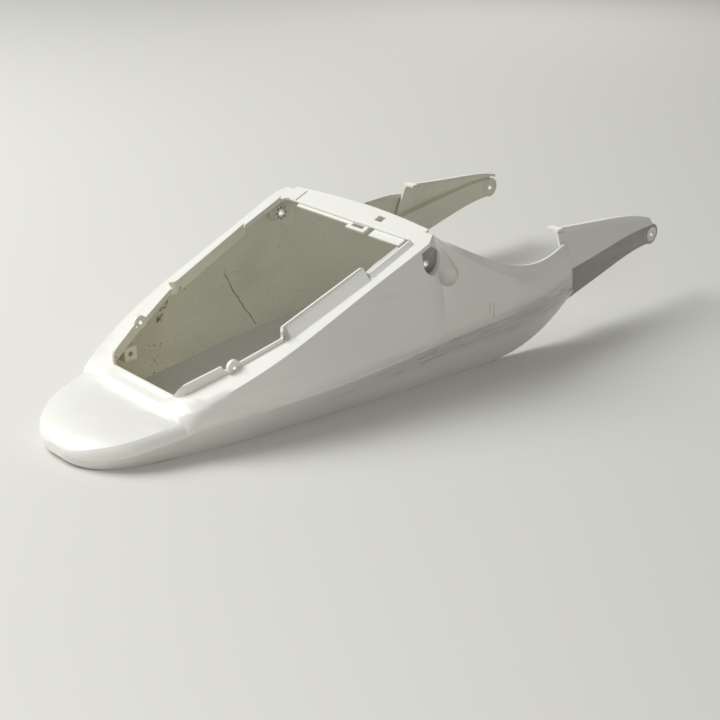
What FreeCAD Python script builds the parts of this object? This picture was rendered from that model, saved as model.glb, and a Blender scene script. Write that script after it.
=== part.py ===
import FreeCAD, Part
import math
import os

from FreeCAD import Vector

# Tail fairing of a motorcycle, one moulded shell that rests on its lower edges.
# +X points to the arms, +Z is up, and both sides mirror each other in Y = 0.
# Distances named x are measured forward from a datum just inside the tip of the tail, and half is
# a half width.

SIZES = {
    "wall": 2.5,
    "deck_slope_deg": 21.06,
    "deck_height_at_tip": 10.3,
    "side_bulge": 2.2,
    "bar_front_x": 394.0,
    "bar_front_half": 104.0,
    "open_rear_x": 100.0,
    "open_rear_half": 56.0,
    "open_rear_radius": 14.0,
    "open_lug_x": 146.0,
    "open_lug_half": 74.5,
    "open_mid_x": 204.0,
    "open_mid_half": 92.5,
    "open_tall_half": 87.0,
    "open_tall_end_x": 308.0,
    "open_tall_end_half": 95.0,
    "open_front_half": 103.0,
    "open_front_x": 377.0,
    "open_front_radius": 9.0,
    "open_step_radius": 1.5,
    "open_step_run": 4.0,
    "lip_thick": 2.5,
    "lip_rear_height": 9.5,
    "lip_low_height": 4.0,
    "lip_tall_height": 11.0,
    "lip_front_height": 4.0,
    "lip_foot_rear_half": 98.0,
    "lip_foot_half": 106.5,
    "lug_x": 153.0,
    "lug_stand": 2.33,
    "lug_radius": 7.5,
    "lug_thick": 4.0,
    "lug_rise": 4.0,
    "lug_hole": 5.0,
    "bar_bow": 6.0,
    "ledge_drop": 3.0,
    "ledge_left": 78.0,
    "ledge_reach": 7.0,
    "tab_left": -6.0,
    "tab_right": -34.0,
    "tab_reach": 12.0,
    "slot_length": 17.0,
    "slot_width": 4.5,
    "patch_left": -43.0,
    "patch_right": -88.0,
    "patch_reach": 13.0,
    "catch_x": 387.0,
    "catch_y": -38.5,
    "catch_length": 8.0,
    "catch_width": 10.0,
    "slit_y": 83.0,
    "slit_width": 2.0,
    "pocket_x": 377.5,
    "pocket_z": 135.0,
    "pocket_floor_half": 117.5,
    "pocket_radius": 12.0,
    "pocket_roof": 4.0,
    "scoop_top_x": 389.0,
    "scoop_top_half": 124.0,
    "scoop_top_z": 155.0,
    "scoop_top_radius": 2.0,
    "scoop_x": 396.0,
    "scoop_half": 131.0,
    "scoop_z": 119.0,
    "scoop_radius": 12.0,
    "boss_x": 376.0,
    "boss_z": 133.0,
    "boss_diameter": 19.0,
    "boss_length": 5.0,
    "boss_hole": 8.0,
    "boss_cell": 3.4,
    "boss_cell_circle": 13.4,
    "boss_cell_depth": 4.0,
    "block_x": 130.0,
    "block_half": 70.0,
    "block_size": 15.0,
    "block_hole": 5.5,
    "arm_thick": 3.0,
    "arm_flange": 10.0,
    "arm_roll": 5.0,
    "arm_step": 2.0,
    "arm_hole_x": 752.0,
    "arm_hole_z": 78.5,
    "arm_tip_radius": 12.5,
    "arm_hole": 7.0,
    "arm_disc_raise": 0.6,
    "arm_ring_diameter": 18.0,
    "arm_ring_raise": 1.6,
    "web_thick": 4.0,
    "ear_width": 16.0,
    "ear_length": 9.0,
}

# One row for each cross-section of the hull: x, then the half width and the height of the
# lower edge, the chine, the rim or shoulder crease and the inner end of the top. Rows of the
# step and the deck end at the rim, on the deck plane. Rows of the step add the bulge of the side
# and front rows the bulge of the top.
NOSE = {
    "nose_a": (-4.0, 9.0, 7.0, 13.0, 11.0, 10.0, 16.5, 5.0, 17.5),
    "nose_b": (4.0, 32.0, 2.5, 38.5, 11.0, 34.0, 21.0, 16.0, 23.5),
    "nose_c": (20.0, 49.0, 0.0, 59.5, 13.5, 54.5, 26.0, 26.0, 29.5),
    "nose_d": (48.0, 65.0, 0.0, 77.0, 19.0, 71.0, 31.5, 36.0, 34.0),
    "nose_e": (82.5, 75.2, 0.0, 88.2, 25.0, 79.0, 37.0, 42.0, 38.0),
}
STEP = {
    "step_a": (86.5, 76.5, 0.0, 89.2, 25.8, 66.0, 6.0),
    "step_b": (89.0, 77.2, 0.0, 89.9, 26.3, 76.0, 5.0),
    "step_c": (94.0, 78.5, 0.0, 91.4, 27.0, 84.0, 3.6),
    "step_d": (101.0, 80.1, 0.0, 93.5, 28.0, 88.3, 2.8),
}
DECK = {
    "deck_b": (110.0, 82.0, 0.0, 96.0, 29.0, 92.0),
    "deck_c": (150.0, 91.5, 0.0, 107.0, 32.5, 104.0),
    "deck_d": (203.0, 99.5, 0.0, 118.5, 36.0, 112.5),
    "deck_e": (281.0, 111.0, 0.0, 129.0, 40.0, 116.0),
    "deck_f": (345.0, 119.5, 0.0, 136.0, 46.0, 119.5),
    "deck_g": (377.0, 123.0, 0.0, 139.5, 49.0, 120.5),
    "deck_h": (389.0, 124.2, 0.0, 140.6, 50.0, 113.5),
}
FRONT = {
    "hip_a": (412.0, 127.0, 0.0, 143.0, 52.0, 130.0, 139.0, 121.5, 145.5, 0.0),
    "hip_b": (440.0, 130.5, 0.0, 146.0, 54.0, 139.0, 120.0, 128.5, 130.0, 0.0),
    "hip_c": (470.0, 134.0, 0.6, 148.5, 54.5, 146.7, 103.5, 136.0, 115.5, 0.0),
    "hip_d": (505.0, 137.5, 5.5, 149.5, 54.5, 151.0, 86.5, 142.0, 104.5, 0.5),
    "hip_e": (548.0, 139.0, 20.0, 146.5, 52.5, 147.3, 68.0, 141.0, 103.5, 1.5),
    "hip_f": (596.0, 134.0, 41.0, 137.2, 46.0, 137.5, 52.0, 125.9, 103.5, 3.4),
}
# One row for each cross-section of an arm: the heights and then the half widths of the lower
# edge, the crease and the crest, and x. The last row stands at the hole.
ARM = {
    "arm_a": (34.0, 74.2, 121.0, 131.0, 136.0, 122.0, 584.0),
    "arm_b": (40.7, 77.9, 118.0, 131.0, 136.5, 122.3, 612.0),
    "arm_c": (51.3, 83.6, 113.3, 131.0, 135.3, 123.4, 656.0),
    "arm_d": (62.8, 89.6, 108.0, 130.5, 133.5, 125.3, 706.0),
    "arm_e": (67.0, 91.0, 98.0, 130.5, 132.0, 129.0),
}
DECK_KEYS = ("x", "low_half", "low_z", "chine_half", "chine_z", "rim_half")
STEP_KEYS = DECK_KEYS + ("side_bulge",)
HULL_KEYS = DECK_KEYS + ("rim_z", "top_half", "top_z", "top_bulge")
ARM_KEYS = ("low_z", "crease_z", "crest_z", "low_half", "crease_half", "crest_half", "x")
TABLES = ((NOSE, HULL_KEYS), (STEP, STEP_KEYS), (DECK, DECK_KEYS), (FRONT, HULL_KEYS), (ARM, ARM_KEYS))
for table, keys in TABLES:
    for row, values in table.items():
        for key, value in zip(keys, values):
            SIZES[row + "_" + key] = value

doc = FreeCAD.newDocument("tail_fairing")
sheet = doc.addObject("Spreadsheet::Sheet", "sizes")
for line, (alias, value) in enumerate(SIZES.items(), start=1):
    sheet.set("A%d" % line, alias)
    sheet.set("B%d" % line, str(value))
    sheet.setAlias("B%d" % line, alias)
doc.recompute()


def size(alias):
    """Value of a named cell of the sheet."""
    return float(getattr(sheet, alias))


SLOPE = math.tan(math.radians(size("deck_slope_deg")))
WALL = size("wall")
LEAN_FACTOR = 1.06
SLANT = WALL * LEAN_FACTOR
RUN_OUT = 4 * WALL
MIDDLE = (size("arm_hole_x") + size("arm_tip_radius") + size("nose_a_x")) / 2
MIDDLE_TEXT = "(sizes.arm_hole_x + sizes.arm_tip_radius + sizes.nose_a_x) / 2"
OVERLAP = 1.0
FAR = 400.0


def deck_z(x):
    """Height of the deck plane at a distance x."""
    return size("deck_height_at_tip") + SLOPE * x


def along(text):
    """Expression for the X coordinate of a distance x."""
    return "(%s) - %s" % (text, MIDDLE_TEXT)


def deck_text(text):
    """Expression for the height of the deck plane at a distance x."""
    return "sizes.deck_height_at_tip + tan(sizes.deck_slope_deg) * (%s)" % text


def feature(name, shape):
    """Free-form shape kept as an object of the document."""
    made = doc.addObject("Part::Feature", name)
    made.Shape = shape
    return made


def bind(made, cells):
    """Ties properties of an object to expressions."""
    for prop, text in cells.items():
        made.setExpression(prop, text)
    return made


def box(name, x, y, z, length, width, height):
    """Upright box from its low corner and its three sides, all as expressions."""
    return bind(doc.addObject("Part::Box", name), {
        "Placement.Base.x": along(x),
        "Placement.Base.y": y,
        "Placement.Base.z": z,
        "Length": length,
        "Width": width,
        "Height": height,
    })


def slab(name, start, end, right, left, bottom, top):
    """Box that follows the deck slope between two distances x and from right to left."""
    made = doc.addObject("Part::Box", name)
    made.Placement = FreeCAD.Placement(Vector(), FreeCAD.Rotation(Vector(0, -1, 0), 1.0))
    return bind(made, {
        "Placement.Rotation.Angle": "sizes.deck_slope_deg",
        "Placement.Base.x": along(start) + " - sin(sizes.deck_slope_deg) * (%s)" % bottom,
        "Placement.Base.y": right,
        "Placement.Base.z": deck_text(start) + " + cos(sizes.deck_slope_deg) * (%s)" % bottom,
        "Length": "((%s) - (%s)) / cos(sizes.deck_slope_deg)" % (end, start),
        "Width": "(%s) - (%s)" % (left, right),
        "Height": "(%s) - (%s)" % (top, bottom),
    })


def rod(name, x, half, z, diameter, length):
    """Cylinder that runs outward along +Y from a half width."""
    made = doc.addObject("Part::Cylinder", name)
    made.Placement = FreeCAD.Placement(Vector(), FreeCAD.Rotation(Vector(1, 0, 0), -90))
    return bind(made, {
        "Placement.Base.x": along(x),
        "Placement.Base.y": half,
        "Placement.Base.z": z,
        "Radius": "(%s) / 2" % diameter,
        "Height": length,
    })


def cut(name, base, tool):
    """Boolean difference of two objects."""
    made = doc.addObject("Part::Cut", name)
    made.Base = base
    made.Tool = tool
    return made


def joined(kind, name, shapes):
    """Union or intersection of several objects."""
    made = doc.addObject(kind, name)
    made.Shapes = shapes
    return made


def both_sides(name, source):
    """An object together with its mirror image in Y = 0."""
    other = doc.addObject("Part::Mirroring", name + "_other")
    other.Source = source
    other.Normal = Vector(0, 1, 0)
    return joined("Part::MultiFuse", name, [source, other])


def curve(*through):
    """Smooth edge through points."""
    line = Part.BSplineCurve()
    line.interpolate(list(through))
    return line.toShape()


def flip(point):
    """Mirror image of a point in Y = 0."""
    return Vector(point.x, -point.y, point.z)


def belly(first, last, bulge):
    """Middle point between two section points, moved outward by a bulge."""
    run = last - first
    out = Vector(0, run.z, -run.y)
    out.normalize()
    return (first + last) * 0.5 + out * bulge


def section(x, points, side_bulge, top_bulge):
    """Closed hull section at x through the half widths and heights of one side."""
    half = [Vector(x - MIDDLE, a, b) for a, b in points]
    side = [
        (half[0], belly(half[0], half[1], 0.0), half[1]),
        (half[1], belly(half[1], half[2], side_bulge), half[2]),
        (half[2], belly(half[2], half[3], top_bulge), half[3]),
    ]
    crown = (half[3], (half[3] + flip(half[3])) * 0.5, flip(half[3]))
    keel = (flip(half[0]), (half[0] + flip(half[0])) * 0.5, half[0])
    back = [(flip(c), flip(b), flip(a)) for a, b, c in reversed(side)]
    return Part.Wire([curve(*points) for points in side + [crown] + back + [keel]])


def hull_points(row):
    """Distance x, four section points, side bulge and top bulge of a row."""
    x = size(row + "_x")
    low = (size(row + "_low_half"), size(row + "_low_z"))
    chine = (size(row + "_chine_half"), size(row + "_chine_z"))
    side_bulge = size(row + "_side_bulge" if row in STEP else "side_bulge")
    top_bulge = size(row + "_top_bulge") if row in FRONT else 0.0
    if row in DECK or row in STEP:
        rim = (size(row + "_rim_half"), deck_z(x))
        top = (rim[0] / 2, rim[1])
    else:
        rim = (size(row + "_rim_half"), size(row + "_rim_z"))
        top = (size(row + "_top_half"), size(row + "_top_z"))
    return x, [low, chine, rim, top], side_bulge, top_bulge


def cavity_points(row):
    """Section of a row moved in by the wall and run out through the open underside."""
    x, (low, chine, rim, top), side_bulge, top_bulge = hull_points(row)
    lean = (chine[0] - low[0]) / max(chine[1] - low[1], WALL)
    points = [
        (low[0] - SLANT - lean * RUN_OUT, low[1] - RUN_OUT),
        (chine[0] - SLANT, chine[1]),
        (rim[0] - SLANT, rim[1] - SLANT),
        (top[0], top[1] - SLANT),
    ]
    return x + (WALL / 2 if row in STEP else 0.0), points, side_bulge, top_bulge


def core_points(row):
    """Section of a row moved in to the middle of the wall."""
    x, (low, chine, rim, top), side_bulge, top_bulge = hull_points(row)
    depth = SLANT / 2
    points = [
        (low[0] - depth, low[1]),
        (chine[0] - depth, chine[1]),
        (rim[0] - depth, rim[1] - depth),
        (top[0], top[1] - depth),
    ]
    return x, points, side_bulge, top_bulge


def loft(stations, ruled=False):
    """Solid through hull sections."""
    return Part.makeLoft([section(*station) for station in stations], True, ruled)


def hull(points_of, skip=0, ruled=False):
    """Nose, step, deck, deck corners and front of the hull in one solid, without the first rows."""
    nose = [points_of(row) for row in list(NOSE)[skip:]]
    deck = [points_of(row) for row in DECK]
    step = nose[-1:] + [points_of(row) for row in STEP] + deck[:1]
    front = deck[-1:] + [points_of(row) for row in FRONT]
    if skip:
        front.append((front[-1][0] + RUN_OUT,) + front[-1][1:])
    rest = [loft(step, True), loft(deck[:-1], ruled), loft(deck[-2:], True), loft(front, ruled)]
    return loft(nose, ruled).fuse(rest)


def rounded(corners):
    """Closed flat wire through corners given as x, y and radius."""
    count = len(corners)
    ends = []
    edges = []
    for i, (x, y, radius) in enumerate(corners):
        here = Vector(x - MIDDLE, y, 0)
        before = Vector(corners[i - 1][0] - MIDDLE, corners[i - 1][1], 0) - here
        after = Vector(corners[(i + 1) % count][0] - MIDDLE, corners[(i + 1) % count][1], 0) - here
        before.normalize()
        after.normalize()
        turn = before.getAngle(after) / 2
        reach = radius / math.tan(turn)
        inward = before + after
        inward.normalize()
        centre = here + inward * (radius / math.sin(turn))
        ends.append((here + before * reach, centre - inward * radius, here + after * reach))
    for i, (first, middle, last) in enumerate(ends):
        edges.append(Part.Arc(first, middle, last).toShape())
        edges.append(Part.makeLine(last, ends[(i + 1) % count][0]))
    return Part.Wire(edges)


def opening():
    """Plan outline of the outer face of the lip round the seat opening."""
    step = size("open_step_radius")
    run = size("open_step_run")
    side = [
        (size("open_rear_x"), size("open_rear_half"), size("open_rear_radius")),
        (size("open_lug_x"), size("open_lug_half"), size("open_rear_radius")),
        (size("open_mid_x"), size("open_mid_half"), step),
        (size("open_mid_x") + run, size("open_tall_half"), step),
        (size("open_tall_end_x"), size("open_tall_end_half"), step),
        (size("open_tall_end_x") + run, size("open_front_half") - step, step),
        (size("open_front_x"), size("open_front_half"), size("open_front_radius")),
    ]
    return rounded(side + [(x, -y, r) for x, y, r in reversed(side)])


def upright(wire, low, high):
    """Prism on a plan outline between two heights."""
    face = Part.Face(wire)
    face.translate(Vector(0, 0, low))
    return face.extrude(Vector(0, 0, high - low))


def mouth():
    """Plan outline of the open front between the free edges of the two shoulders."""
    rows = list(FRONT)
    start = Vector(size("bar_front_x") - MIDDLE, size("bar_front_half"), 0)
    points = [start]
    for row in rows:
        points.append(Vector(size(row + "_x") - MIDDLE, size(row + "_top_half") - SLANT, 0))
    end = points[-1] + Vector(2 * RUN_OUT, 0, 0)
    other = [flip(point) for point in points]
    edges = [
        curve(*points),
        Part.makeLine(points[-1], end),
        Part.makeLine(end, flip(end)),
        Part.makeLine(flip(end), other[-1]),
        curve(*reversed(other)),
        Part.makeLine(flip(start), start),
    ]
    return Part.Wire(edges)


def bar_plan():
    """Plan outline of the cross bar, bowed at the front."""
    half = size("open_front_half")
    rear = size("open_front_x") - size("patch_reach") - OVERLAP - MIDDLE
    front = size("bar_front_x") - MIDDLE
    corners = [Vector(x, y, 0) for x, y in ((front, -half), (rear, -half), (rear, half), (front, half))]
    bow = Part.Arc(corners[3], Vector(front + size("bar_bow"), 0, 0), corners[0]).toShape()
    return Part.Wire(Part.makePolygon(corners).Edges + [bow])


def lip_foot(stations):
    """Sloped outer foot of the lip through stations of x, two half widths and the height."""
    wires = []
    for x, half, foot, height in stations:
        corners = [
            Vector(x - MIDDLE, half - OVERLAP, deck_z(x) - WALL / 2),
            Vector(x - MIDDLE, foot, deck_z(x) - WALL / 2),
            Vector(x - MIDDLE, foot, deck_z(x)),
            Vector(x - MIDDLE, half, deck_z(x) + height),
            Vector(x - MIDDLE, half - OVERLAP, deck_z(x) + height),
        ]
        wires.append(Part.makePolygon(corners + corners[:1]))
    return Part.makeLoft(wires, True, True)


def pocket_outline(grow):
    """Side outline of the pocket: a round foot with upright sides up to a roof under the deck."""
    radius = size("pocket_radius") + grow
    x, z = size("pocket_x"), size("pocket_z")
    roof = size("pocket_roof") - grow
    rear, front = Vector(x - radius - MIDDLE, 0, z), Vector(x + radius - MIDDLE, 0, z)
    rear_top = Vector(rear.x, 0, deck_z(x - radius) - roof)
    front_top = Vector(front.x, 0, deck_z(x + radius) - roof)
    return Part.Wire([
        Part.Arc(front, Vector(x - MIDDLE, 0, z - radius), rear).toShape(),
        Part.makeLine(rear, rear_top),
        Part.makeLine(rear_top, front_top),
        Part.makeLine(front_top, front),
    ])


def scoop(grow):
    """Thumb-shaped hollow that runs down and out from the top of the pocket, turned from a profile."""
    top = Vector(size("scoop_top_x") - MIDDLE, size("scoop_top_half"), size("scoop_top_z"))
    foot = Vector(size("scoop_x") - MIDDLE, size("scoop_half"), size("scoop_z"))
    first, last = size("scoop_top_radius") + grow, size("scoop_radius") + grow
    axis = foot - top
    flare = math.asin((last - first) / axis.Length)
    axis.normalize()
    side = Vector(0, 1, 0) - axis * axis.y
    side.normalize()
    shoulder = top + side * first
    touch = foot + (side * math.cos(flare) - axis * math.sin(flare)) * last
    quarter = foot + (side + axis) * (last * math.sqrt(0.5))
    tip = foot + axis * last
    profile = Part.Wire([
        Part.makeLine(top, shoulder),
        Part.makeLine(shoulder, touch),
        Part.Arc(touch, quarter, tip).toShape(),
        Part.makeLine(tip, top),
    ])
    return Part.Face(profile).revolve(top, axis, 360)


def outward(wire, low, high):
    """Prism on a side outline between two half widths."""
    face = Part.Face(wire)
    face.translate(Vector(0, low, 0))
    return face.extrude(Vector(0, high - low, 0))


def arm():
    """One arm: a recessed lower plate, a creased upper face and a rolled crest with a flange."""
    thick = size("arm_thick")
    step = size("arm_step")
    wires = []
    for row in ARM:
        x = size("arm_hole_x" if row == list(ARM)[-1] else row + "_x") - MIDDLE
        low_z, crease_z, crest_z = (size(row + key) for key in ("_low_z", "_crease_z", "_crest_z"))
        low, crease, crest = (size(row + key) for key in ("_low_half", "_crease_half", "_crest_half"))
        roll = min(size("arm_roll"), (crest_z - crease_z) / 3)
        inner = crest - size("arm_flange")
        corners = [
            (low, low_z),
            (low, crease_z - step),
            (crease, crease_z),
            (crest, crest_z - roll),
            (crest - roll, crest_z),
            (inner, crest_z),
            (inner, crest_z - thick),
            (crest - roll - thick / 3, crest_z - thick),
            (crest - thick, crest_z - roll - thick / 3),
            (crease - thick, crease_z + thick / 2),
            (low - thick, crease_z + thick / 2 - step),
            (low - thick, low_z),
        ]
        wires.append(Part.makePolygon([Vector(x, y, z) for y, z in corners + corners[:1]]))
    return Part.makeLoft(wires, True, False)


# Hull: the outer body less its cavity, open below and at the front.
body = feature("body", hull(hull_points))
cavity = feature("cavity", hull(cavity_points, 1, True))
core = feature("core", hull(core_points))
shell = cut("shell", body, cavity)

# Seat opening, with the lip that stands round it in four heights.
lip_outline = opening()
lip_inner = lip_outline.makeOffset2D(-size("lip_thick"))
seat_hole = feature("seat_hole", upright(lip_inner, 0.0, FAR))
lip_ring = feature("lip_ring", upright(lip_outline, 0.0, FAR).cut(upright(lip_inner, -FAR, 2 * FAR)))
left_all = "sizes.open_front_half + sizes.lip_thick"
right_all = "-(%s)" % left_all
sunk = "-sizes.wall"
tall_start = "sizes.open_mid_x + sizes.open_step_run / 2"
tall_end = "sizes.open_tall_end_x + sizes.open_step_run / 2"
lip_end = "sizes.open_front_x - sizes.open_front_radius"
lip_bands = joined("Part::MultiFuse", "lip_bands", [
    slab("lip_rear", "sizes.open_rear_x - sizes.lip_thick", "sizes.open_lug_x", right_all, left_all, sunk,
         "sizes.lip_rear_height"),
    slab("lip_low", "sizes.open_lug_x", tall_start, right_all, left_all, sunk, "sizes.lip_low_height"),
    slab("lip_tall", tall_start, tall_end, right_all, left_all, sunk, "sizes.lip_tall_height"),
    slab("lip_front", tall_end, lip_end, right_all, left_all, sunk, "sizes.lip_front_height"),
])
lip = joined("Part::MultiCommon", "lip", [lip_ring, lip_bands])

# Open front between the shoulders.
mouth_low = (size("hip_f_rim_z") + size("hip_e_rim_z")) / 2
mouth_hole = feature("mouth_hole", upright(mouth(), mouth_low, FAR))
open_shell = cut("open_shell", shell, joined("Part::MultiFuse", "openings", [seat_hole, mouth_hole]))

# Cross bar in front of the opening, bowed at the front, with a lower ledge, a tab and a patch along
# its rear edge.
under = "-sizes.ledge_drop - sizes.wall"
on_ledge = "-sizes.ledge_drop"
bar_end = "sizes.open_front_x + sizes.wall"
bar = joined("Part::MultiFuse", "bar", [
    slab("beam", "sizes.open_front_x", "sizes.bar_front_x + sizes.bar_bow", right_all, left_all, sunk, "0"),
    slab("riser", "sizes.open_front_x", bar_end, "sizes.patch_right", "sizes.ledge_left", under, "0"),
    slab("ledge", "sizes.open_front_x - sizes.ledge_reach", bar_end, "sizes.tab_left", "sizes.ledge_left",
         under, on_ledge),
    slab("tab", "sizes.open_front_x - sizes.tab_reach", bar_end, "sizes.tab_right", "sizes.tab_left",
         under, on_ledge),
    slab("patch", "sizes.open_front_x - sizes.patch_reach", bar_end, "sizes.patch_right",
         "sizes.patch_left", under, on_ledge),
])
shelf = joined("Part::MultiCommon", "shelf", [bar, feature("bar_block", upright(bar_plan(), 0.0, FAR))])

# Slot in the tab, catch hole in the bar and slit at the far end of the bar.
below = "-sizes.ledge_drop - 2 * sizes.wall"
above = "sizes.wall"
slot_x = "sizes.open_front_x - sizes.tab_reach / 2"
slot_y = "(sizes.tab_left + sizes.tab_right) / 2"
bar_cuts = joined("Part::MultiFuse", "bar_cuts", [
    slab("slot", slot_x + " - sizes.slot_width / 2", slot_x + " + sizes.slot_width / 2",
         slot_y + " - sizes.slot_length / 2", slot_y + " + sizes.slot_length / 2", below, above),
    slab("catch", "sizes.catch_x - sizes.catch_length / 2", "sizes.catch_x + sizes.catch_length / 2",
         "sizes.catch_y - sizes.catch_width / 2", "sizes.catch_y + sizes.catch_width / 2", below, above),
    slab("slit", "sizes.open_front_x - sizes.wall", "sizes.bar_front_x - sizes.wall",
         "sizes.slit_y - sizes.slit_width / 2", "sizes.slit_y + sizes.slit_width / 2", below, above),
])

# Side fittings of one side: arm, web, ear, lug, lip feet, pocket backing, ribbed boss and block.
arm_plate = feature("arm_plate", arm())
arm_back = "sizes.arm_e_low_half - sizes.arm_thick"
arm_disc = rod("arm_disc", "sizes.arm_hole_x", arm_back + " - sizes.arm_disc_raise", "sizes.arm_hole_z",
               "2 * sizes.arm_tip_radius", "sizes.arm_thick + 2 * sizes.arm_disc_raise")
arm_ring = rod("arm_ring", "sizes.arm_hole_x", arm_back, "sizes.arm_hole_z", "sizes.arm_ring_diameter",
               "sizes.arm_thick + sizes.arm_ring_raise")
web = joined("Part::MultiCommon", "web", [core, box(
    "web_block", "sizes.hip_f_x - sizes.web_thick", "sizes.arm_a_low_half - sizes.arm_thick",
    "sizes.arm_a_low_z", "sizes.web_thick", "sizes.hip_e_rim_half",
    "sizes.arm_a_crease_z - sizes.arm_a_low_z")])
ear = box("ear", "sizes.arm_a_x", "sizes.arm_a_crest_half - sizes.ear_width",
          "sizes.arm_a_crest_z - sizes.arm_thick", "sizes.ear_length", "sizes.ear_width", "sizes.arm_thick")
lip_turn = "(sizes.open_mid_half - sizes.open_lug_half) / (sizes.open_mid_x - sizes.open_lug_x)"
lug_half = "sizes.open_lug_half + (sizes.lug_x - sizes.open_lug_x) * %s + sizes.lug_stand" % lip_turn
lug_z = deck_text("sizes.lug_x") + " + sizes.lug_rise"
lug = rod("lug", "sizes.lug_x", lug_half + " - sizes.lug_thick", lug_z, "2 * sizes.lug_radius",
          "sizes.lug_thick")
foot_tall = feature("foot_tall", lip_foot([
    (size("open_mid_x") + 2 * size("open_step_run"), size("open_tall_half"), size("lip_foot_rear_half"),
     size("lip_tall_height")),
    (size("open_tall_end_x"), size("open_tall_end_half"), size("lip_foot_half"), size("lip_tall_height")),
]))
foot_front = feature("foot_front", lip_foot([
    (size("open_tall_end_x") + size("open_step_run"), size("open_front_half") - size("open_step_radius"),
     size("lip_foot_half"), size("lip_front_height")),
    (size("open_front_x") - size("open_front_radius"), size("open_front_half"), size("lip_foot_half"),
     size("lip_front_height")),
]))
pocket_low = size("pocket_floor_half") - WALL
backing = joined("Part::MultiCommon", "backing", [
    core, feature("backing_block", outward(pocket_outline(WALL), pocket_low, FAR).fuse(scoop(WALL)))])
boss = rod("boss", "sizes.boss_x", "sizes.pocket_floor_half - sizes.wall - sizes.boss_length",
           "sizes.boss_z", "sizes.boss_diameter", "sizes.boss_length + sizes.wall / 2")
block_top = deck_text("sizes.block_x - sizes.block_size / 2") + " - sizes.wall / 2"
block = box("block", "sizes.block_x - sizes.block_size / 2", "sizes.block_half - sizes.block_size / 2",
            block_top + " - sizes.block_size", "sizes.block_size", "sizes.block_size", "sizes.block_size")
fittings = both_sides("fittings", joined("Part::MultiFuse", "side_fittings", [
    arm_plate, arm_disc, arm_ring, web, ear, lug, foot_tall, foot_front, backing, boss, block]))

# Pockets in both sides, with the hollow beside them.
pockets = both_sides("pockets", feature(
    "pocket", outward(pocket_outline(0.0), size("pocket_floor_half"), FAR).fuse(scoop(0.0))))

# Holes and rib cells of one side.
reach = "sizes.pocket_floor_half"
side_holes = [
    rod("arm_hole", "sizes.arm_hole_x", "sizes.arm_e_low_half / 2", "sizes.arm_hole_z",
        "sizes.arm_hole", reach),
    rod("lug_hole", "sizes.lug_x", lug_half + " - 2 * sizes.lug_thick", lug_z, "sizes.lug_hole",
        "4 * sizes.lug_thick"),
    rod("boss_hole", "sizes.boss_x", "sizes.pocket_floor_half / 2", "sizes.boss_z",
        "sizes.boss_hole", reach),
    rod("block_hole", "sizes.block_x", "sizes.block_half - sizes.block_size",
        block_top + " - sizes.block_size / 2", "sizes.block_hole", "sizes.block_size"),
]
CELLS = "abcdefgh"
NEAREST = "(sizes.boss_cell_circle - sizes.boss_cell) / 2"
for number, letter in enumerate(CELLS):
    turn = 360 * number / len(CELLS)
    cell = doc.addObject("Part::Box", "boss_cell_%s" % letter)
    cell.Placement = FreeCAD.Placement(Vector(), FreeCAD.Rotation(Vector(0, -1, 0), turn))
    across = "sizes.boss_x + %s * cos(%g) + sizes.boss_cell / 2 * sin(%g)" % (NEAREST, turn, turn)
    upward = "sizes.boss_z + %s * sin(%g) - sizes.boss_cell / 2 * cos(%g)" % (NEAREST, turn, turn)
    side_holes.append(bind(cell, {
        "Placement.Base.x": along(across),
        "Placement.Base.y": "sizes.pocket_floor_half - sizes.wall - 2 * sizes.boss_length",
        "Placement.Base.z": upward,
        "Length": "sizes.boss_cell",
        "Width": "sizes.boss_length + sizes.boss_cell_depth",
        "Height": "sizes.boss_cell",
    }))
holes = both_sides("holes", joined("Part::MultiFuse", "side_holes", side_holes))

# One moulding, trimmed flat along the lower edges.
framed = joined("Part::MultiFuse", "framed", [open_shell, lip, shelf])
moulding = joined("Part::MultiFuse", "moulding", [framed, fittings])
floor = box("floor", "-sizes.wall", "-sizes.arm_hole_x", "-sizes.arm_hole_x", "2 * sizes.arm_hole_x",
            "2 * sizes.arm_hole_x", "sizes.arm_hole_x")
hollowed = cut("hollowed", moulding, pockets)
fairing = cut("fairing", hollowed, joined("Part::MultiFuse", "removed", [holes, bar_cuts, floor]))
fairing.Label = "tail_fairing"
doc.recompute()

for made in doc.Objects:
    wrong = [state for state in made.State if state in ("Invalid", "Error")]
    if wrong:
        raise RuntimeError("%s did not build: %s" % (made.Name, wrong))
    if hasattr(made, "Shape") and (made.Shape.isNull() or not made.Shape.isValid()):
        raise RuntimeError("%s has no sound shape" % made.Name)
if len(fairing.Shape.Solids) != 1:
    raise RuntimeError("the fairing came out in %d solids" % len(fairing.Shape.Solids))
hollows = {
    "arm hole": (size("arm_hole_x"), size("arm_e_low_half") - size("arm_thick") / 2, size("arm_hole_z")),
    "boss hole": (size("boss_x"), size("pocket_floor_half") - WALL, size("boss_z")),
    "pocket": (size("pocket_x"), size("pocket_floor_half") + WALL, size("pocket_z")),
    "scoop": (size("scoop_x"), size("scoop_half") - WALL, size("scoop_z")),
}
for name, (x, half, z) in hollows.items():
    left = Vector(x - MIDDLE, half, z)
    if any(fairing.Shape.isInside(point, OVERLAP / 100, True) for point in (left, flip(left))):
        raise RuntimeError("the %s is filled" % name)

os.makedirs("parts", exist_ok=True)
fairing.Shape.exportStep("parts/%s.step" % fairing.Label)
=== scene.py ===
# %% [markdown]
# # Tail fairing of a motorcycle
# A tail fairing is the moulded shell behind a motorcycle's seat. The imported model is loaded first
# and stays fixed.

# %% load the frame
import math

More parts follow.
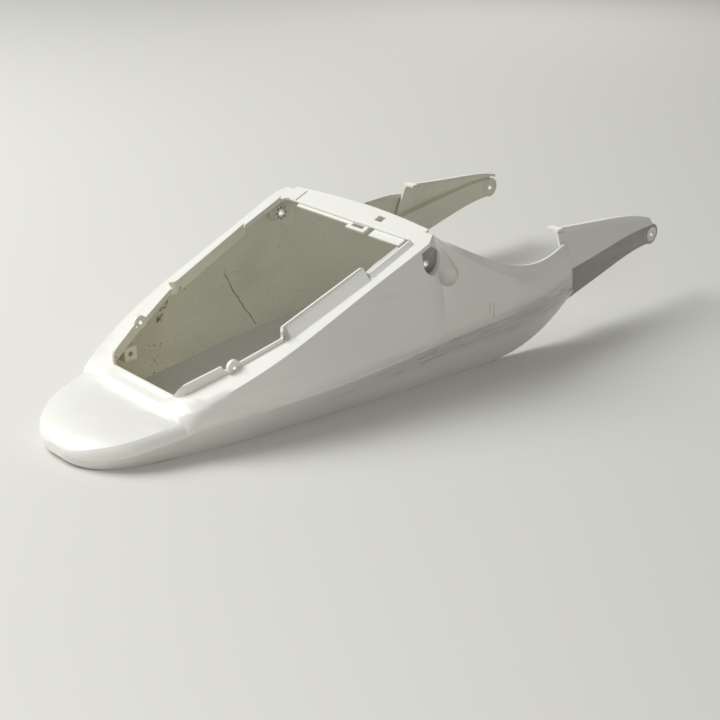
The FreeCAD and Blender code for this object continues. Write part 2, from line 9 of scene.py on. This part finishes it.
import bmesh
import bpy
import numpy as np
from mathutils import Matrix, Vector


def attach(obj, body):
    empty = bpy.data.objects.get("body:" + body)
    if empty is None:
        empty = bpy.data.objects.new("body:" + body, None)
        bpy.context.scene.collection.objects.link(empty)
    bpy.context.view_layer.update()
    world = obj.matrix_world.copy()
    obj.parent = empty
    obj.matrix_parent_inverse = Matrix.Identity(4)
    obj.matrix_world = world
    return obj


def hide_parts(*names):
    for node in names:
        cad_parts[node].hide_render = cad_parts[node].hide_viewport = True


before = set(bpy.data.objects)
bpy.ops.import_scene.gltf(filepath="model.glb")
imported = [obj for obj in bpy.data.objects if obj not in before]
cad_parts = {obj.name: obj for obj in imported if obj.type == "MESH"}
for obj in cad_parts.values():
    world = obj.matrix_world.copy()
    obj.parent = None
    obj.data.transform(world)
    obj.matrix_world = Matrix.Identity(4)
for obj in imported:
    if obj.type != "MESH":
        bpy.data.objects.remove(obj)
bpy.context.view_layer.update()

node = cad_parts["tail_fairing"]

# %% [markdown]
# ## The rear lip
# A lip stands up round the seat opening and holds the pad. On the real fairing it dies away at the
# rear, where the edge of the opening is flush with the rim. It could be trimmed with a boolean cut.
# Its points are moved down onto the sloped plane of the deck instead, because that keeps the mesh
# closed and lets the lip fade out smoothly at the two corners.

# %% lower the rear lip
MERGE = 2.0e-5
DECK_SLOPE = math.tan(math.radians(21.06))
DECK_START_X = -0.38025
DECK_START_Z = 0.0103
DECK_AT_ORIGIN = DECK_START_Z - DECK_START_X * DECK_SLOPE
LIP_REAR = -0.2838
LIP_FRONT = -0.258
LIP_TOP = 0.0125
LIP_ENDS = (0.047, 0.058)


def read(items, name, width, kind=float):
    """Property of all items of a mesh as one array."""
    values = np.empty(len(items) * width, kind)
    items.foreach_get(name, values)
    return values.reshape(-1, width) if width > 1 else values


def lower_lip(mesh):
    """Lip at the rear of the seat opening. Its height over the sloped deck plane fades to nothing
    between the two rear corners, as a smooth step of the distance from the middle."""
    point = read(mesh.vertices, "co", 3)
    x, half = point[:, 0], np.abs(point[:, 1])
    height = point[:, 2] - DECK_AT_ORIGIN - DECK_SLOPE * x
    fade = np.clip((LIP_ENDS[1] - half) / (LIP_ENDS[1] - LIP_ENDS[0]), 0, 1)
    on_lip = (x > LIP_REAR) & (x < LIP_FRONT) & (height > MERGE) & (height < LIP_TOP)
    point[:, 2] -= np.where(on_lip, height * fade * fade * (3 - 2 * fade), 0)
    mesh.vertices.foreach_set("co", point.ravel())
    mesh.update()
    return int(on_lip.sum())


print("height of the deck's plane over the origin:", round(DECK_AT_ORIGIN, 4))

# %% [markdown]
# ## One skin
# The part is one moulding, and its mesh comes as loose triangles, each with its own corners. They
# could be shaded flat, and every facet would show. A copy is merged into one skin instead, so that
# its curves can be shaded smooth.

# %% merge a copy of the part


def merged_copy(source, name):
    """Copy of a mesh object with its rear lip lowered and its loose triangles merged."""
    mesh = source.data.copy()
    mesh.name = name
    print("points of the rear lip:", lower_lip(mesh))
    work = bmesh.new()
    work.from_mesh(mesh)
    bmesh.ops.remove_doubles(work, verts=work.verts, dist=MERGE)
    work.to_mesh(mesh)
    work.free()
    mesh.shade_smooth()
    made = bpy.data.objects.new(name, mesh)
    bpy.context.scene.collection.objects.link(made)
    return made


shell = merged_copy(node, "moulding")
print("moulding:", len(shell.data.vertices), "points,", len(shell.data.polygons), "faces")

# %% [markdown]
# ## Sharp edges and soft creases
# The real moulding has crisp edges at the rim and the holes, and softer creases along the chine and
# the shoulder. One limit on the angle is the usual way to find edges, but it either loses the soft
# creases or marks the facets of the tight curves. So a second test looks at how far the facets
# would miss a smooth curve, which is large only at a crease.

# %% faces on both sides of each edge


def edge_faces(mesh):
    """Edges with two faces, as a mask, and the two faces of each of them. The faces' corners are
    sorted by edge, so the two corners of an edge stand side by side."""
    edge_of_corner = read(mesh.loops, "edge_index", 1, np.int32)
    face_of_corner = np.repeat(np.arange(len(mesh.polygons)), 3)
    order = np.argsort(edge_of_corner, kind="stable")
    count = np.bincount(edge_of_corner, minlength=len(mesh.edges))
    first = np.cumsum(count) - count
    paired = count == 2
    one = face_of_corner[order[first[paired]]]
    two = face_of_corner[order[first[paired] + 1]]
    return paired, one, two


print("edges with two faces:", int(edge_faces(shell.data)[0].sum()), "of", len(shell.data.edges))

# %% mark the sharp edges
SHARP = math.radians(22.0)
CREASE = math.radians(9.0)
CREASE_RISE = 0.00027
LENGTHWISE = 0.5
STEP_REAR = -0.306
STEP_FRONT = -0.262
STEP_LOW = 0.030
STEP_SHARP = math.radians(60.0)


def mark_sharp(mesh):
    """Sharp edges: those that bend by more than SHARP, and the creases that run lengthwise. On a smooth
    curve cut into facets, bend times facet width over eight is how far a facet misses the curve, and
    that stays small, so an edge with more of it is a crease. The rounded step behind the rim is smooth."""
    point = read(mesh.vertices, "co", 3)
    ends = read(mesh.edges, "vertices", 2, np.int32)
    normal = read(mesh.polygons, "normal", 3)
    area = read(mesh.polygons, "area", 1)
    paired, one, two = edge_faces(mesh)
    bend = np.arccos(np.clip((normal[one] * normal[two]).sum(axis=1), -1, 1))
    start, end = point[ends[paired, 0]], point[ends[paired, 1]]
    length = np.maximum(np.linalg.norm(end - start, axis=1), MERGE)
    lengthwise = np.abs(end - start)[:, 0] > LENGTHWISE * length
    rise = np.minimum(area[one], area[two]) / length * bend / 4
    middle = (start + end) / 2
    on_step = (middle[:, 0] > STEP_REAR) & (middle[:, 0] < STEP_FRONT) & (middle[:, 2] > STEP_LOW)
    limit = np.where(on_step, STEP_SHARP, SHARP)
    sharp = np.ones(len(ends), bool)
    sharp[paired] = (bend > limit) | (~on_step & lengthwise & (bend > CREASE) & (rise > CREASE_RISE))
    mesh.attributes.new("sharp_edge", "BOOLEAN", "EDGE").data.foreach_set("value", sharp)
    return sharp.sum()


print("sharp edges:", mark_sharp(shell.data))

# %% [markdown]
# ## Painted outside, bare inside
# The same wall is painted outside and bare inside. The sunk plates of the arms are coloured darker,
# and the panels that look down get painted shade. Two materials could share the faces, but the
# finishes are one plastic, so each face keeps three numbers that one material reads. A face is inside
# when it looks towards a spine that runs along the middle of the shell.

# %% mark the faces
SPINE_REAR = -0.30
SPINE_LOW = 0.012
SPINE_RISE = 0.075
PLATE_REAR = 0.215
PLATE_HALF = 0.1292
PLATE_DEPTH = 0.0024
FLAT = 0.97


def mark_faces(mesh):
    """Face fields: inside is 1 where the normal looks towards the spine, plate is 1 on the flat lower
    plates of the arms, and under is how far an outer face looks down."""
    centre = read(mesh.polygons, "center", 3)
    normal = read(mesh.polygons, "normal", 3)
    x, half = np.maximum(centre[:, 0], SPINE_REAR), np.abs(centre[:, 1])
    spine = np.stack([x, 0 * x, SPINE_LOW + SPINE_RISE * (x - SPINE_REAR)], axis=1)
    inside = np.einsum("ij,ij->i", normal, centre - spine) < 0
    plate = ~inside & (x > PLATE_REAR) & (half > PLATE_HALF) & (half < PLATE_HALF + PLATE_DEPTH)
    plate &= np.abs(normal[:, 1]) > FLAT
    under = np.where(inside, 0, np.clip(-normal[:, 2], 0, 1))
    fields = {"inside": inside, "plate": plate, "under": under}
    for name, values in fields.items():
        mesh.attributes.new(name, "FLOAT", "FACE").data.foreach_set("value", values.astype(np.float32))
    return {name: round(float(values.mean()), 3) for name, values in fields.items()}


print("mean of each face field:", mark_faces(shell.data))
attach(shell, "root")
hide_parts("tail_fairing")

# %% [markdown]
# ## Tools for the plastic
# The plastic's finish changes from place to place, so its material is a tree of nodes. Wiring each
# node by hand makes long code. Small functions that take and give sockets let the finish be written
# as sums and products, and a plain number can stand wherever a socket can.

# %% sums and products
material = bpy.data.materials.new("white_plastic")
material.use_nodes = True
tree = material.node_tree
shader = tree.nodes["Principled BSDF"]


def link(value, socket):
    """Sets a socket from another node's output or from a plain value."""
    if isinstance(value, bpy.types.NodeSocket):
        tree.links.new(value, socket)
    else:
        socket.default_value = value


def number(kind, a, b=0.0, clamp=False):
    """Number worked out from two numbers."""
    made = tree.nodes.new("ShaderNodeMath")
    made.operation = kind
    made.use_clamp = clamp
    link(a, made.inputs[0])
    link(b, made.inputs[1])
    return made.outputs[0]


def times(first, *others):
    """Product of numbers."""
    for other in others:
        first = number("MULTIPLY", first, other)
    return first


def rest(share):
    """One less a share."""
    return number("SUBTRACT", 1.0, share)


print("tools for numbers are ready")

# %% vectors, ramps and colours


def vector(kind, a, b=None, scale=None, out="Vector"):
    """Vector or number worked out from vectors."""
    made = tree.nodes.new("ShaderNodeVectorMath")
    made.operation = kind
    link(a, made.inputs[0])
    if b is not None:
        link(b, made.inputs[1])
    if scale is not None:
        link(scale, made.inputs["Scale"])
    return made.outputs[out]


def ramp(value, low, high):
    """0 below low, 1 above high and smooth between."""
    made = tree.nodes.new("ShaderNodeMapRange")
    made.interpolation_type = "SMOOTHSTEP"
    link(value, made.inputs["Value"])
    made.inputs["From Min"].default_value = low
    made.inputs["From Max"].default_value = high
    return made.outputs["Result"]


def mix(share, a, b):
    """Colour between a and b."""
    made = tree.nodes.new("ShaderNodeMix")
    made.data_type = "RGBA"
    link(share, made.inputs["Factor"])
    link(a, made.inputs[6])
    link(b, made.inputs[7])
    return made.outputs[2]


print("tools for vectors and colours are ready")

# %% patterns and strokes


def noise(at, scale, detail=3.0, roughness=0.55):
    """Soft random pattern from 0 to 1."""
    made = tree.nodes.new("ShaderNodeTexNoise")
    link(at, made.inputs["Vector"])
    made.inputs["Scale"].default_value = scale
    made.inputs["Detail"].default_value = detail
    made.inputs["Roughness"].default_value = roughness
    return made.outputs["Fac"]


def lines(at, scales, detail, roughness):
    """Random pattern with its own scale on each axis, so that it is drawn out into lines."""
    return noise(vector("MULTIPLY", at, scales), 1.0, detail, roughness)


def stroke(at, points, width):
    """1 on a line through points in the side view, 0 beyond its width. The distance to a run is the
    length of what is left of the offset from its start, less its part along the run."""
    nearest = 1.0
    for (ax, az), (bx, bz) in zip(points, points[1:]):
        start, run = Vector((ax, 0, az)), Vector((bx - ax, 0, bz - az))
        offset = vector("SUBTRACT", at, start)
        reach = vector("DOT_PRODUCT", offset, run, out="Value")
        along = number("DIVIDE", reach, run.length_squared, clamp=True)
        gap = vector("SUBTRACT", offset, vector("SCALE", run, scale=along))
        nearest = number("MINIMUM", nearest, vector("LENGTH", gap, out="Value"))
    return rest(ramp(nearest, width * 0.5, width * 1.2))


print("tools for patterns are ready")

# %% fields of the plastic
WOBBLE = (0.004, 0.0, 0.004)
place = tree.nodes.new("ShaderNodeTexCoord").outputs["Object"]
parts = tree.nodes.new("ShaderNodeSeparateXYZ")
link(place, parts.inputs[0])
x, y, z = parts.outputs


def face_field(name):
    """Number kept on the faces of the piece."""
    made = tree.nodes.new("ShaderNodeAttribute")
    made.attribute_name = name
    return made.outputs["Fac"]


inside, plate, under = (face_field(name) for name in ("inside", "plate", "under"))
half = number("ABSOLUTE", y)
side_view = vector("MULTIPLY", place, (1.0, 0.0, 1.0))
wander = number("SUBTRACT", noise(place, 90.0), 0.5)
wobbled = vector("ADD", side_view, vector("SCALE", WOBBLE, scale=wander))
rear = rest(ramp(x, -0.30, -0.08))
left_wall = times(ramp(y, 0.02, 0.04), inside)
right_wall = times(rest(ramp(y, -0.04, -0.02)), rest(inside))
print("fields of the plastic use", len(tree.nodes), "nodes")

# %% [markdown]
# ## Bare plastic
# Inside, the plastic was never painted. It is a matt grey green that has yellowed towards the tail,
# where it is also painted lighter, as painted light for the shaded rear inner wall. It has faint
# blotches, and brown specks of road dirt that lie in clusters at the rear. A picture could be laid
# on it, but noise in the object's own coordinates has no seams and needs no file.

# %% bare plastic
BARE_FRONT = (0.66, 0.66, 0.57, 1)
# The tail end is yellowed plastic, painted lighter as painted light for the shade on the rear inner wall.
BARE_REAR_YELLOWED_AND_LIT = (0.90, 0.85, 0.66, 1)
BLOTCH = (0.50, 0.49, 0.42, 1)
SPECK = (0.12, 0.09, 0.05, 1)
SPECK_LEVEL = 0.70
SPECK_DROP = 0.14
bare = mix(rear, BARE_FRONT, BARE_REAR_YELLOWED_AND_LIT)
blotches = ramp(noise(place, 14.0, 5.0), 0.42, 0.75)
bare = mix(times(blotches, 0.35), bare, BLOTCH)
cluster = ramp(noise(place, 22.0, 2.0), 0.35, 0.65)
speck_level = number("SUBTRACT", SPECK_LEVEL, times(rear, cluster, SPECK_DROP))
specks = ramp(number("SUBTRACT", noise(place, 300.0, 2.0), speck_level), 0.0, 0.05)
bare = mix(times(specks, 0.75), bare, SPECK)
print("bare plastic is ready")

# %% [markdown]
# ## Paint, painted shade and scuffs
# Outside, the fairing is a gloss white that varies a little. The low panels that look down get
# painted shade and are streaked along their length, the arm plates are coloured dark, the pockets
# get painted shade, and faint scuffs run along the sides. Each layer could be a material of its own.
# Mixing them one over another in one colour keeps every border soft.

# %% paint and low panels
PAINT = (0.80, 0.80, 0.765, 1)
PAINT_DULL = (0.765, 0.765, 0.73, 1)
LOW_PAINTED_SHADE = (0.52, 0.51, 0.47, 1)
LOW_STREAK = (0.40, 0.38, 0.33, 1)
paint = mix(ramp(noise(place, 9.0, 4.0), 0.35, 0.75), PAINT, PAINT_DULL)
low_panel = ramp(under, 0.05, 0.25)
low_lines = ramp(lines(place, (9.0, 30.0, 170.0), 4.0, 0.7), 0.60, 0.80)
# Painted shade: the faces that look down are painted darker.
paint = mix(times(low_panel, 0.30), paint, LOW_PAINTED_SHADE)
paint = mix(times(low_lines, low_panel, 0.35), paint, LOW_STREAK)
print("paint is ready")

# %% painted shade, dark plates and scuffs
PLATE_DARK_AND_POCKET_SHADE = (0.27, 0.255, 0.23, 1)
SCUFF = (0.62, 0.59, 0.54, 1)
POCKET_AT = (-0.0028, 0.0, 0.134)
POCKET_REACH = (0.0155, 0.0175)
POCKET_FLOOR = (0.1168, 0.1172)
POCKET_MOUTH = (0.1175, 0.1225)
pocket_depth = times(ramp(half, *POCKET_FLOOR), rest(ramp(half, *POCKET_MOUTH)))
pocket_reach = vector("LENGTH", vector("SUBTRACT", side_view, POCKET_AT), out="Value")
pocket_shade = times(pocket_depth, rest(ramp(pocket_reach, *POCKET_REACH)))
patchy = number("ADD", 0.72, times(noise(place, 30.0), 0.36))
# The arm plates are coloured dark, and the pockets get painted shade in their hollow.
paint = mix(times(number("MAXIMUM", plate, pocket_shade), patchy), paint, PLATE_DARK_AND_POCKET_SHADE)
scuffs = ramp(lines(place, (7.0, 7.0, 60.0), 5.0, 0.6), 0.52, 0.78)
paint = mix(times(scuffs, 0.22), paint, SCUFF)
print("grime and scuffs are ready")

# %% [markdown]
# ## Crack, smudge and rub marks
# The left wall has a hairline crack with a fine branch, and a dark smudge near the rear. The right
# side has two short rub marks. They could be cut into the mesh, but they are thinner than its
# facets, so they are drawn in the material, by the distance to short lines in the side view. A
# little noise moves the lines, because no crack is straight.

# %% crack and smudge
CRACK = [(-0.076, 0.073), (-0.059, 0.043), (-0.050, 0.023), (-0.040, 0.005)]
CRACK_WIDTH = 0.0007
BRANCH = [(-0.0795, 0.086), (-0.076, 0.073), (-0.054, 0.071)]
BRANCH_WIDTH = 0.0005
CRACK_DARK = (0.05, 0.05, 0.04, 1)
SMUDGE = [(-0.167, 0.066), (-0.173, 0.056), (-0.176, 0.050)]
SMUDGE_WIDTH = 0.005
SMUDGE_DARK = (0.07, 0.06, 0.05, 1)
branch = times(stroke(wobbled, BRANCH, BRANCH_WIDTH), 0.35)
crack = number("MAXIMUM", branch, stroke(wobbled, CRACK, CRACK_WIDTH))
bare = mix(times(crack, left_wall, 0.85), bare, CRACK_DARK)
smudge = times(stroke(wobbled, SMUDGE, SMUDGE_WIDTH), ramp(noise(place, 160.0), 0.42, 0.62))
bare = mix(times(smudge, left_wall, 0.8), bare, SMUDGE_DARK)
print("crack and smudge are ready")

# %% rub marks
REAR_RUB = [(0.0647, 0.0787), (0.0648, 0.0662)]
FRONT_RUB = [(0.0701, 0.0763), (0.0700, 0.0626)]
RUB_WIDTH = 0.0009
RUB_BROWN = (0.40, 0.26, 0.20, 1)
rub = number("MAXIMUM", stroke(wobbled, REAR_RUB, RUB_WIDTH), stroke(wobbled, FRONT_RUB, RUB_WIDTH))
paint = mix(times(rub, right_wall, 0.4), paint, RUB_BROWN)
print("rub marks are ready")

# %% [markdown]
# ## Wear along the chine, and a painted reflection
# The chine is the long crease low on the side, and the right one has been dragged along something:
# it is grey with fine lines and two deeper scratches. Above them lies a pale streak, a painted
# reflection on the gloss. Plain noise would run level. The noise is read in coordinates that rise
# with the chine, so that its lines follow it.

# %% worn band of the chine
CHINE_RISE = 0.0708
CHINE_AT_ORIGIN = 0.048
BAND_DROP = 0.007
BAND_EDGE = (0.004, 0.021)
WORN_GREY = (0.36, 0.345, 0.31, 1)
SCRATCH_DARK = (0.16, 0.15, 0.13, 1)
along_chine = vector("SUBTRACT", place, vector("SCALE", (0.0, 0.0, CHINE_RISE), scale=x))
over_chine = number("SUBTRACT", number("SUBTRACT", z, times(x, CHINE_RISE)), CHINE_AT_ORIGIN)
from_band = number("ABSOLUTE", number("ADD", over_chine, BAND_DROP))
band = times(rest(ramp(from_band, *BAND_EDGE)), ramp(x, -0.24, -0.02), right_wall)
rough_lines = ramp(lines(along_chine, (9.0, 20.0, 210.0), 4.0, 0.6), 0.42, 0.66)
fine_lines = ramp(lines(along_chine, (24.0, 20.0, 640.0), 2.0, 0.5), 0.62, 0.70)
worn = number("ADD", 0.22, times(rough_lines, 0.34))
paint = mix(times(band, worn), paint, WORN_GREY)
paint = mix(times(band, fine_lines, 0.45), paint, SCRATCH_DARK)
print("worn band is ready")

# %% scratches and painted reflection
UPPER_SCRATCH = [(-0.032, 0.0384), (-0.006, 0.043)]
LOWER_SCRATCH = [(-0.025, 0.0311), (0.010, 0.0343)]
SCRATCH_WIDTH = 0.0007
REFLECTION_LINE = [(-0.017, 0.0575), (0.044, 0.0672), (0.065, 0.0719)]
REFLECTION_WIDTH = 0.0036
PAINTED_REFLECTION_PALE = (0.86, 0.74, 0.60, 1)
scratch = number("MAXIMUM", stroke(wobbled, UPPER_SCRATCH, SCRATCH_WIDTH),
                 stroke(wobbled, LOWER_SCRATCH, SCRATCH_WIDTH))
paint = mix(times(scratch, right_wall, 0.5), paint, SCRATCH_DARK)
# Painted reflection: a pale streak of light on the glossy side.
painted_reflection = times(stroke(side_view, REFLECTION_LINE, REFLECTION_WIDTH), ramp(noise(place, 40.0, 2.0), 0.20, 0.75))
paint = mix(times(painted_reflection, right_wall, 0.35), paint, PAINTED_REFLECTION_PALE)
print("scratches and streak are ready")

# %% [markdown]
# ## Gloss and grain
# Paint is glossy and bare plastic is matt, with a fine grain from the mould. The moulding's edges
# are slightly round and catch the light. Rounding them in the mesh would add many faces to thin
# walls, so the shader's Bevel node bends the normals near each edge.

# %% finish of the plastic
GLOSS = 0.26
MATT = 0.32
GRAIN_SHARE = 0.08
PLASTIC_IOR = 1.49
EDGE_RADIUS = 0.0011
EDGE_SAMPLES = 6
GRAIN_HEIGHT = 0.0002
GRAIN_STRENGTH = 0.12
link(mix(inside, paint, bare), shader.inputs["Base Color"])
grain = noise(place, 420.0, 2.0)
smooth = number("ADD", GLOSS, times(inside, MATT))
link(number("ADD", smooth, times(grain, GRAIN_SHARE)), shader.inputs["Roughness"])
shader.inputs["IOR"].default_value = PLASTIC_IOR
bevel = tree.nodes.new("ShaderNodeBevel")
bevel.samples = EDGE_SAMPLES
bevel.inputs["Radius"].default_value = EDGE_RADIUS
bump = tree.nodes.new("ShaderNodeBump")
bump.inputs["Distance"].default_value = GRAIN_HEIGHT
link(times(inside, GRAIN_STRENGTH), bump.inputs["Strength"])
link(grain, bump.inputs["Height"])
link(bevel.outputs["Normal"], bump.inputs["Normal"])
link(bump.outputs["Normal"], shader.inputs["Normal"])
shell.data.materials.clear()
shell.data.materials.append(material)
print("plastic has", len(tree.nodes), "nodes")

# %% [markdown]
# ## Studio
# The part lies on a pale floor in soft daylight from one side. A picture of a sky could light it,
# but lamps are easier to place: a large soft key high on the left behind the part, a weak fill low
# at its rear right and another in front, under a grey sky that lights the shaded side.

# %% floor
FLOOR_HALF = 6.0
FLOOR_PALE = (0.685, 0.681, 0.66, 1)
FLOOR_ROUGH = 0.85
floor_mesh = bpy.data.meshes.new("floor")
corner = FLOOR_HALF * np.array([(-1, -1, 0), (1, -1, 0), (1, 1, 0), (-1, 1, 0)], float)
floor_mesh.from_pydata(corner.tolist(), [], [(0, 1, 2, 3)])
floor = bpy.data.objects.new("floor", floor_mesh)
bpy.context.scene.collection.objects.link(floor)
floor_material = bpy.data.materials.new("floor")
floor_material.use_nodes = True
floor_shader = floor_material.node_tree.nodes["Principled BSDF"]
floor_shader.inputs["Base Color"].default_value = FLOOR_PALE
floor_shader.inputs["Roughness"].default_value = FLOOR_ROUGH
floor_mesh.materials.append(floor_material)
print("floor is", 2 * FLOOR_HALF, "m wide")

# %% lamps
SKY_COLOUR = (0.95, 0.95, 0.88, 1)
SKY_STRENGTH = 0.34


def lamp(name, at, aim, side, watts, colour):
    """Square soft lamp at a place, turned to a point."""
    light = bpy.data.lights.new(name, "AREA")
    light.size = side
    light.energy = watts
    light.color = colour
    made = bpy.data.objects.new(name, light)
    made.location = at
    made.rotation_euler = (Vector(aim) - Vector(at)).to_track_quat("-Z", "Y").to_euler()
    bpy.context.scene.collection.objects.link(made)
    return made


lamp("key", at=(-1.5, 1.85, 2.3), aim=(0.0, 0.0, 0.0), side=2.1, watts=110.0, colour=(1.0, 1.0, 0.985))
lamp("fill", at=(-1.15, -0.75, 0.42), aim=(-0.35, 0.0, 0.03), side=0.7, watts=2.2, colour=(1.0, 0.99, 0.97))
lamp("front", at=(1.8, 1.2, 0.8), aim=(0.1, 0.0, 0.0), side=0.9, watts=3.0, colour=(1.0, 0.97, 0.94))
sky = bpy.data.worlds.new("sky")
sky.use_nodes = True
sky.node_tree.nodes["Background"].inputs["Color"].default_value = SKY_COLOUR
sky.node_tree.nodes["Background"].inputs["Strength"].default_value = SKY_STRENGTH
bpy.context.scene.world = sky
bpy.context.scene.view_settings.view_transform = "Standard"
print("lamps:", len(bpy.data.lights))

# %% [markdown]
# ## Camera
# The camera could be placed by eye. It stands where the perspective of the photograph puts it,
# worked out from mirrored pairs of points on the part, so that the two pictures can be laid over
# each other.

# %% camera
AZIMUTH = 43.5
ELEVATION = 24.3
CAMERA_AT = (-0.9810, -1.0482, 0.6330)
camera_data = bpy.data.cameras.new("camera")
camera_data.lens = 70.0
camera_data.sensor_width = 36.0
camera_data.clip_end = 50.0
camera = bpy.data.objects.new("camera", camera_data)
camera.location = CAMERA_AT
camera.rotation_euler = (math.radians(90.0 - ELEVATION), 0.0, math.radians(-AZIMUTH))
bpy.context.scene.collection.objects.link(camera)
bpy.context.scene.camera = camera
print("camera is", round(Vector(CAMERA_AT).length, 2), "m from the origin")
